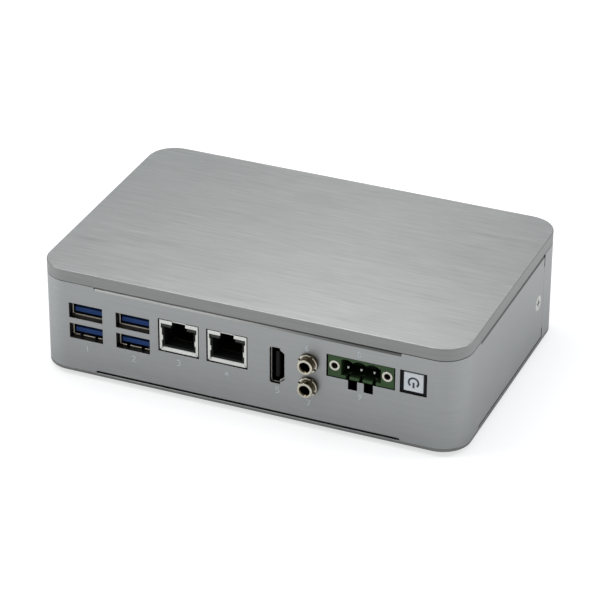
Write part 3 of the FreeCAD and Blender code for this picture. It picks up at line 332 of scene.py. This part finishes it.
def serial_cage_metal():
    """Cages of the serial ports: a bright line round each throat; around it and inside they are painted dark
    brown as painted shade, darker with depth.
    """
    paint = Paint("cage_steel", Metallic=0.5)
    x = paint.part_of(paint.place, 0)
    z = paint.part_of(paint.place, 2)
    bright = 0.0
    for low, high in SERIAL_CAGES:
        apart = paint.math("ABSOLUTE", paint.math("SUBTRACT", x, (low.x + high.x) / 2 * MM))
        across = paint.math("LESS_THAN", apart, (THROAT_HALF + SHINY_EDGE) * MM)
        for bottom in THROAT_BOTTOMS:
            upright = paint.between(z, (bottom - SHINY_EDGE) * MM, (bottom + THROAT_HEIGHT + SHINY_EDGE) * MM)
            bright = paint.math("MAXIMUM", bright, paint.product(across, upright))
    depth_shade = paint.painted_recess_shade("usb_shell_left", 1, 0.1, 0.7, 0.08)
    grain = paint.noise(1500, detail=3.0)
    # Painted shade: away from the throats the cage keeps 0.15 of its colour, and it darkens further with
    # depth inside
    level = paint.product(paint.linear(grain, 0.3, 0.85), depth_shade, paint.linear(bright, 0.85, 0.15))
    return paint.finish(Base_Color=paint.shade((0.9, 0.82, 0.69), level),
                        Roughness=paint.linear(grain, 0.15, 0.28),
                        Normal=paint.bump(grain, 0.006, 0.6, paint.soft_edges()))


def moulded(name, base, roughness, coat=0.0, speckle=0.12, gloss=0.5):
    """Moulded plastic: fine grain, slow colour variation and softened, slightly paler edges."""
    paint = Paint(name, Specular_IOR_Level=gloss, Coat_Weight=coat, Coat_Roughness=0.15)
    grain = paint.noise(2200)
    cloud = paint.noise(120)
    level = paint.math("ADD", paint.math("MULTIPLY", grain, speckle), paint.math("MULTIPLY", cloud, speckle))
    level = paint.math("ADD", level, 1.0 - speckle)
    level = paint.math("ADD", level, paint.math("MULTIPLY", paint.edge_wear(), 0.25))
    return paint.finish(Base_Color=paint.shade(base, level),
                        Roughness=paint.linear(grain, 0.16, roughness - 0.08),
                        Normal=paint.bump(grain, 0.01, 0.4, paint.soft_edges()))


def circuit_board():
    """Solder mask with copper runs showing faintly through it and rows of small pads."""
    paint = Paint("board_green", Coat_Weight=0.3, Coat_Roughness=0.2)
    runs = paint.node("ShaderNodeTexBrick", offset=0.37, squash=0.6)
    paint.fill(runs, Vector=paint.stretched(260), Scale=1.0, Mortar_Size=0.05, Color1=(0.02, 0.12, 0.05),
               Color2=(0.03, 0.15, 0.065), Mortar=(0.06, 0.24, 0.1))
    spots = paint.fill(paint.node("ShaderNodeTexVoronoi"), Vector=paint.stretched(420), Scale=1.0)
    pad = paint.math("LESS_THAN", spots.outputs["Distance"], 0.12)
    return paint.finish(Base_Color=paint.mix(pad, runs.outputs["Color"], (0.55, 0.5, 0.38)),
                        Roughness=paint.linear(paint.noise(900), 0.2, 0.35),
                        Metallic=paint.math("MULTIPLY", pad, 0.9),
                        Normal=paint.bump(runs.outputs["Fac"], 0.03, 0.5))


def terminal_green():
    """Green plastic of the terminal, with painted shade down in its cavity and on the faces that look up."""
    paint = Paint("terminal_green", Specular_IOR_Level=0.4)
    grain = paint.noise(1600, detail=3.0)
    cloud = paint.noise(220)
    level = paint.math("ADD", paint.math("MULTIPLY", grain, 0.3), paint.math("MULTIPLY", cloud, 0.5))
    level = paint.math("ADD", level, 0.6)
    # Painted shade: darker with depth into the cavity, and darker on the faces that look up
    deep = paint.painted_recess_shade("terminal_header", 1, 0.1, 2.25, 0.3)
    ledge_shade = paint.span(paint.part_of(paint.normal(), 2), 0.5, 0.9, 1.0, 0.45)
    return paint.finish(Base_Color=paint.shade((0.03, 0.075, 0.02), paint.product(level, deep, ledge_shade)),
                        Roughness=paint.linear(grain, 0.2, 0.42),
                        Normal=paint.bump(grain, 0.015, 0.5, paint.soft_edges(0.12)))


def serial_insert_plastic():
    """Insert with the two tongues in blue; the block behind and around them is painted near black as painted
    shade.
    """
    paint = Paint("usb_blue", Specular_IOR_Level=0.3)
    grain = paint.noise(1800, detail=3.0)
    z = paint.part_of(paint.place, 2)
    blue = 0.0
    for bottom in THROAT_BOTTOMS:
        low = bottom + TONGUE_GAP
        high = low + TONGUE_THICKNESS
        tongue = paint.between(z, (low - TONGUE_SKIN) * MM, (high + TONGUE_SKIN) * MM)
        blue = paint.math("MAXIMUM", tongue, blue)
    ahead = paint.math("LESS_THAN", paint.part_of(paint.place, 1), (TONGUE_BACK - TONGUE_SKIN) * MM)
    # Painted shade: near black off the tongues, blue on them
    colour = paint.mix(paint.product(blue, ahead), (0.01, 0.01, 0.01), (0.018, 0.065, 0.24))
    return paint.finish(Base_Color=paint.shade(colour, paint.linear(grain, 0.5, 0.75)),
                        Roughness=paint.linear(grain, 0.2, 0.4),
                        Normal=paint.bump(grain, 0.01, 0.4, paint.soft_edges()))


def lamp_plastic():
    """Cloudy light pipes."""
    paint = Paint("lamp_plastic", Transmission_Weight=0.25, IOR=1.49, Subsurface_Weight=0.2,
                  Subsurface_Radius=(MM, MM, MM))
    cloud = paint.noise(700)
    return paint.finish(Base_Color=paint.shade((0.03, 0.037, 0.028), paint.math("ADD", cloud, 0.5)),
                        Roughness=paint.linear(cloud, 0.2, 0.25),
                        Normal=paint.soft_edges())


def rubber():
    """Matte rubber with fine pores."""
    paint = Paint("foot_rubber", Specular_IOR_Level=0.3)
    pores = paint.noise(1800, detail=4.0, roughness=0.7)
    return paint.finish(Base_Color=paint.shade((0.022, 0.022, 0.023), paint.math("ADD", pores, 0.5)),
                        Roughness=paint.linear(pores, 0.25, 0.65),
                        Normal=paint.bump(pores, 0.03, 0.6))


METALS = {
    "base_metal": dict(base=(0.25, 0.25, 0.245), roughness=0.42),
    "post_metal": dict(base=(0.6, 0.6, 0.6), roughness=0.35, turned=(2, 0.4, 0.02)),
    "screw_steel": dict(base=(0.74, 0.74, 0.7), roughness=0.22),
    # The side screws are painted darker down into their recess, as painted shade
    "side_screw_steel": dict(base=(0.66, 0.67, 0.64), roughness=0.22,
                             deep=("side_screws", 0, 0.05, 0.4, 0.2)),
    "nut_steel": dict(base=(0.6, 0.6, 0.56), roughness=0.35),
    "copper": dict(base=(0.72, 0.38, 0.24), roughness=0.38),
    # The video shell is painted near black down into its opening, as painted shade
    "video_metal": dict(base=(0.5, 0.48, 0.44), roughness=0.35,
                        deep=("video_shell", 1, 0.05, 0.9, 0.04)),
    "network_cage": dict(base=(0.73, 0.73, 0.7), roughness=0.3),
    # The contacts are painted dark brown instead of bright gold, as painted shade inside the ports
    "contact_gold": dict(base=(0.13, 0.105, 0.055), roughness=0.35),
    "jack_metal": dict(base=(0.6, 0.57, 0.48), roughness=0.17, turned=(1, 0.8, 0.03),
                       sides=(0.15, 0.12, 0.075)),
    # The terminal pins are painted darker down into the terminal, as painted shade
    "pin_tin": dict(base=(0.8, 0.8, 0.77), roughness=0.22,
                    deep=("terminal_pins", 1, 0.1, 0.55, 0.12)),
    "terminal_metal": dict(base=(0.66, 0.64, 0.57), roughness=0.28, turned=(1, 0.5, 0.03)),
    "battery_steel": dict(base=(0.7, 0.7, 0.7), roughness=0.25),
    "capacitor_can": dict(base=(0.62, 0.62, 0.62), roughness=0.3),
}
PLASTICS = {
    "processor_grey": dict(base=(0.12, 0.12, 0.13), roughness=0.4),
    "pad_soft": dict(base=(0.45, 0.46, 0.48), roughness=0.8),
    "port_black": dict(base=(0.005, 0.005, 0.005), roughness=0.55, gloss=0.2),
    "switch_black": dict(base=(0.006, 0.006, 0.007), roughness=0.5, gloss=0.15),
    "cap_white": dict(base=(0.75, 0.78, 0.81), roughness=0.38, coat=0.15, speckle=0.04),
    "socket_plastic": dict(base=(0.04, 0.04, 0.042), roughness=0.5),
    "choke_grey": dict(base=(0.1, 0.1, 0.1), roughness=0.6),
}
paints = {
    "brushed_lid": brushed_lid(),
    "brushed_wrap": brushed_wrap("brushed_wrap"),
    "brushed_rear": brushed_wrap("brushed_rear"),
    "board_green": circuit_board(),
    "cage_steel": serial_cage_metal(),
    "usb_blue": serial_insert_plastic(),
    "lamp_plastic": lamp_plastic(),
    "terminal_green": terminal_green(),
    "foot_rubber": rubber(),
}
paints.update({name: worn_metal(name, **look) for name, look in METALS.items()})
paints.update({name: moulded(name, **look) for name, look in PLASTICS.items()})

# Nodes that wear another paint than that of their slot
OWN_PAINTS = {"video_shell": "video_metal", "side_screws": "side_screw_steel"}

for entry in frame["record"]["subparts"]:
    materials = frame["nodes"][entry["node"]].data.materials
    materials.clear()
    materials.append(paints[OWN_PAINTS.get(entry["node"], entry["material_slot"])])


def piece(name, vertices, faces, material, body):
    """A mesh piece that rides on a body. Its vertices are in millimetres."""
    mesh = bpy.data.meshes.new(name)
    mesh.from_pydata([Vector(v) * MM for v in vertices], [], faces)
    mesh.update()
    mesh.materials.append(material)
    made = bpy.data.objects.new(name, mesh)
    bpy.context.scene.collection.objects.link(made)
    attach(made, body)


def ribbon(points, half, ahead_y, back_y):
    """Vertices and faces of a flat bar of printed paint along (x, z) points."""
    vertices, faces = [], []
    for i, (x, z) in enumerate(points):
        after = points[min(i + 1, len(points) - 1)]
        before = points[max(i - 1, 0)]
        dx, dz = after[0] - before[0], after[1] - before[1]
        length = math.hypot(dx, dz)
        nx, nz = -dz / length * half, dx / length * half
        vertices += [(x + nx, ahead_y, z + nz), (x - nx, ahead_y, z - nz),
                     (x - nx, back_y, z - nz), (x + nx, back_y, z + nz)]
        if i:
            a, b = 4 * (i - 1), 4 * i
            for k in range(4):
                faces.append((a + k, a + (k + 1) % 4, b + (k + 1) % 4, b + k))
    last = 4 * (len(points) - 1)
    faces += [(0, 3, 2, 1), (last, last + 1, last + 2, last + 3)]
    return vertices, faces


# Printed paint, in millimetres: how deep it goes into its face, how far it stands out, and half its stroke
INK_SUNK = 0.05
SIGN_RAISED = 0.02
SIGN_HALF_STROKE = 0.37
NUMBER_RAISED = 0.015
NUMBER_HALF_STROKE = 0.16

# The sign: its ring, half the ring's opening at the foot, and the bar's heights from the ring's middle
SIGN_RADIUS = 1.85
SIGN_GAP = math.radians(42)
SIGN_STEPS = 48
BAR_HEIGHTS = (0.05, -1.1, -2.2)

# The numbers: their height in millimetres, and the middle and width of a figure as shares of it
NUMBER_HEIGHT = 2.4
FIGURE_MIDDLE = 0.35
FIGURE_WIDTH = 0.8


def power_sign():
    """The ring and bar printed on the cap, upside down as the switch is mounted."""
    ink = moulded("sign_ink", (0.03, 0.04, 0.065), 0.5)
    low, high = (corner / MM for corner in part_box("switch_cap"))
    x, z = (low.x + high.x) / 2, (low.z + high.z) / 2
    start, end = -math.pi / 2 + SIGN_GAP, 1.5 * math.pi - SIGN_GAP
    ring = []
    for step in range(SIGN_STEPS + 1):
        turn = start + (end - start) * step / SIGN_STEPS
        ring.append((x + SIGN_RADIUS * math.cos(turn), z + SIGN_RADIUS * math.sin(turn)))
    bar = [(x, z + height) for height in BAR_HEIGHTS]
    for name, points in (("sign_ring", ring), ("sign_bar", bar)):
        vertices, faces = ribbon(points, SIGN_HALF_STROKE, low.y - SIGN_RAISED, low.y + INK_SUNK)
        piece(name, vertices, faces, ink, "button")


power_sign()

# Strokes of each figure, in shares of its height from its lower left corner
FIGURES = {
    1: [((0.15, 0.8), (0.5, 1.0), (0.5, 0.0))],
    2: [((0.0, 0.8), (0.25, 1.0), (0.6, 0.95), (0.7, 0.7), (0.0, 0.0), (0.75, 0.0))],
    3: [((0.0, 0.95), (0.4, 1.0), (0.7, 0.78), (0.35, 0.55)),
        ((0.35, 0.55), (0.75, 0.28), (0.4, 0.0), (0.0, 0.05))],
    4: [((0.55, 0.0), (0.55, 1.0)), ((0.55, 1.0), (0.0, 0.3)), ((0.0, 0.3), (0.8, 0.3))],
    5: [((0.7, 1.0), (0.1, 1.0), (0.05, 0.55), (0.55, 0.6), (0.72, 0.3), (0.45, 0.0), (0.0, 0.05))],
    6: [((0.6, 1.0), (0.1, 0.5), (0.1, 0.15), (0.4, 0.0), (0.7, 0.2), (0.55, 0.52), (0.12, 0.45))],
    7: [((0.0, 1.0), (0.75, 1.0), (0.25, 0.0))],
    8: [((0.38, 0.55), (0.08, 0.78), (0.38, 1.0), (0.68, 0.78), (0.38, 0.55), (0.02, 0.25),
         (0.38, 0.0), (0.74, 0.25), (0.38, 0.55))],
    9: [((0.1, 0.0), (0.6, 0.5), (0.65, 0.85), (0.35, 1.0), (0.05, 0.8), (0.2, 0.5), (0.6, 0.55))],
}

# Middles of the port numbers on the front wall, as (x, z)
NUMBER_PLACES = ((-64.3, 12.9), (-45.0, 12.95), (-26.6, 15.4), (-7.3, 15.2), (12.8, 13.2),
                 (24.3, 33.5), (25.0, 10.6), (44.7, 35.5), (45.1, 17.8))


def port_numbers():
    """A plain number printed beside each port."""
    ink = moulded("number_ink", (0.62, 0.67, 0.72), 0.6)
    for number, (x, z) in enumerate(NUMBER_PLACES, start=1):
        foot = z - NUMBER_HEIGHT / 2
        for index, stroke in enumerate(FIGURES[number]):
            points = [(x + (a - FIGURE_MIDDLE) * NUMBER_HEIGHT * FIGURE_WIDTH, foot + b * NUMBER_HEIGHT)
                      for a, b in stroke]
            vertices, faces = ribbon(points, NUMBER_HALF_STROKE, FRONT - NUMBER_RAISED, FRONT + INK_SUNK)
            piece(f"number_{number}_{index}", vertices, faces, ink, "housing")


port_numbers()


def soft_light(name, place, target, side, watts, colour=(1, 1, 1)):
    """A large square lamp aimed at a target. Places and its side are in metres."""
    data = bpy.data.lights.new(name, "AREA")
    data.shape = "SQUARE"
    data.size = side
    data.energy = watts
    data.color = colour
    lamp = bpy.data.objects.new(name, data)
    bpy.context.scene.collection.objects.link(lamp)
    lamp.location = place
    lamp.rotation_euler = (Vector(target) - Vector(place)).to_track_quat("-Z", "Y").to_euler()


soft_light("key", (-0.55, -0.35, 0.95), (0, 0, 0.02), 0.4, 2.4)
soft_light("top_sheen", (-0.06, 0.03, 0.33), (0.005, -0.04, 0.04), 0.2, 0.32, (1.0, 0.99, 0.97))
soft_light("right_fill", (0.6, 0.3, 0.55), (0.12, 0.03, 0), 0.4, 1.5, (0.95, 0.97, 1.0))
soft_light("left_fill", (-0.9, -0.4, 0.25), (0, 0, 0.02), 0.5, 1.0, (0.88, 0.95, 1.0))

# The floor, in metres, and how brightly a camera sees it besides its lit colour
FLOOR_HALF = 4.0
FLOOR_LEVEL = -0.0002
FLOOR_GLOW = 0.6

# Half sides of a rectangle round the middle of the floor, then the ramp of what the floor mirrors past it:
# from and to in metres, and the brightness at both. The first ramp paints a shadow close to the walls,
# the second paints light under the base.
MIRROR_RAMPS = (((0.064, 0.056), (0.0, 0.08, 0.12, 0.4)), ((0.082, 0.053), (-0.004, 0.0, 0.35, 0.0)))


def mirror_level(wiring):
    """How bright the floor mirrors in the walls and the base: a painted shadow close to the walls, and
    painted light under the base.
    """
    place = wiring.own_place()
    levels = []
    for halves, ramp in MIRROR_RAMPS:
        past = []
        for axis, half in enumerate(halves):
            apart = wiring.math("ABSOLUTE", wiring.part_of(place, axis))
            past.append(wiring.math("SUBTRACT", apart, half))
        levels.append(wiring.span(wiring.math("MAXIMUM", *past), *ramp))
    return wiring.math("ADD", *levels)


def floor():
    """Pale floor that takes the object's shadow, white to the camera elsewhere and clear from below."""
    material = bpy.data.materials.new("floor")
    material.use_nodes = True
    material.node_tree.nodes.clear()
    wiring = Wiring(material.node_tree)
    ray = wiring.node("ShaderNodeLightPath").outputs
    mirror_rays = wiring.math("MAXIMUM", ray["Is Glossy Ray"], ray["Is Transmission Ray"])
    mirrored = wiring.product(mirror_rays, mirror_level(wiring))
    glow = wiring.math("MAXIMUM", mirrored, wiring.math("MULTIPLY", ray["Is Camera Ray"], FLOOR_GLOW))
    pale = wiring.joined("ShaderNodeBsdfDiffuse", (0.55, 0.55, 0.55))
    glowing = wiring.fill(wiring.node("ShaderNodeEmission"), Strength=glow)
    lit = wiring.joined("ShaderNodeAddShader", pale.outputs[0], glowing.outputs[0])
    clear = wiring.node("ShaderNodeBsdfTransparent")
    below = wiring.node("ShaderNodeNewGeometry").outputs["Backfacing"]
    seen = wiring.joined("ShaderNodeMixShader", below, lit.outputs[0], clear.outputs[0])
    wiring.joined("ShaderNodeOutputMaterial", seen.outputs[0])
    mesh = bpy.data.meshes.new("floor")
    corners = [(x * FLOOR_HALF, y * FLOOR_HALF, FLOOR_LEVEL) for x, y in ((-1, -1), (1, -1), (1, 1), (-1, 1))]
    mesh.from_pydata(corners, [], [(0, 1, 2, 3)])
    mesh.materials.append(material)
    plane = bpy.data.objects.new("floor", mesh)
    bpy.context.scene.collection.objects.link(plane)


floor()

ROOM_COLOUR = (0.95, 0.98, 1.0)
ROOM_LEVEL = 0.62


def surroundings():
    """Soft grey room light, white where the camera sees past the floor."""
    world = bpy.data.worlds.new("surroundings")
    bpy.context.scene.world = world
    world.use_nodes = True
    world.node_tree.nodes.clear()
    wiring = Wiring(world.node_tree)
    room = wiring.joined("ShaderNodeBackground", ROOM_COLOUR, ROOM_LEVEL)
    white = wiring.joined("ShaderNodeBackground", (1, 1, 1))
    straight = wiring.node("ShaderNodeLightPath").outputs["Is Camera Ray"]
    seen = wiring.joined("ShaderNodeMixShader", straight, room.outputs[0], white.outputs[0])
    wiring.joined("ShaderNodeOutputWorld", seen.outputs[0])


surroundings()

# The photo's camera: lens and sensor in millimetres, place in metres, angles in degrees
SENSOR = 36.0
LENS = 177.664
CAMERA_PLACE = (0.375105, -0.899095, 0.572770)
CAMERA_ANGLES = (60.46518, -0.21036, 22.77029)
FAR_ENOUGH = 20.0

camera_data = bpy.data.cameras.new("camera")
camera_data.sensor_width = SENSOR
camera_data.lens = LENS
camera_data.clip_end = FAR_ENOUGH
camera = bpy.data.objects.new("camera", camera_data)
bpy.context.scene.collection.objects.link(camera)
camera.location = CAMERA_PLACE
camera.rotation_euler = [math.radians(angle) for angle in CAMERA_ANGLES]
bpy.context.scene.camera = camera
bpy.context.scene.view_settings.view_transform = "Standard"
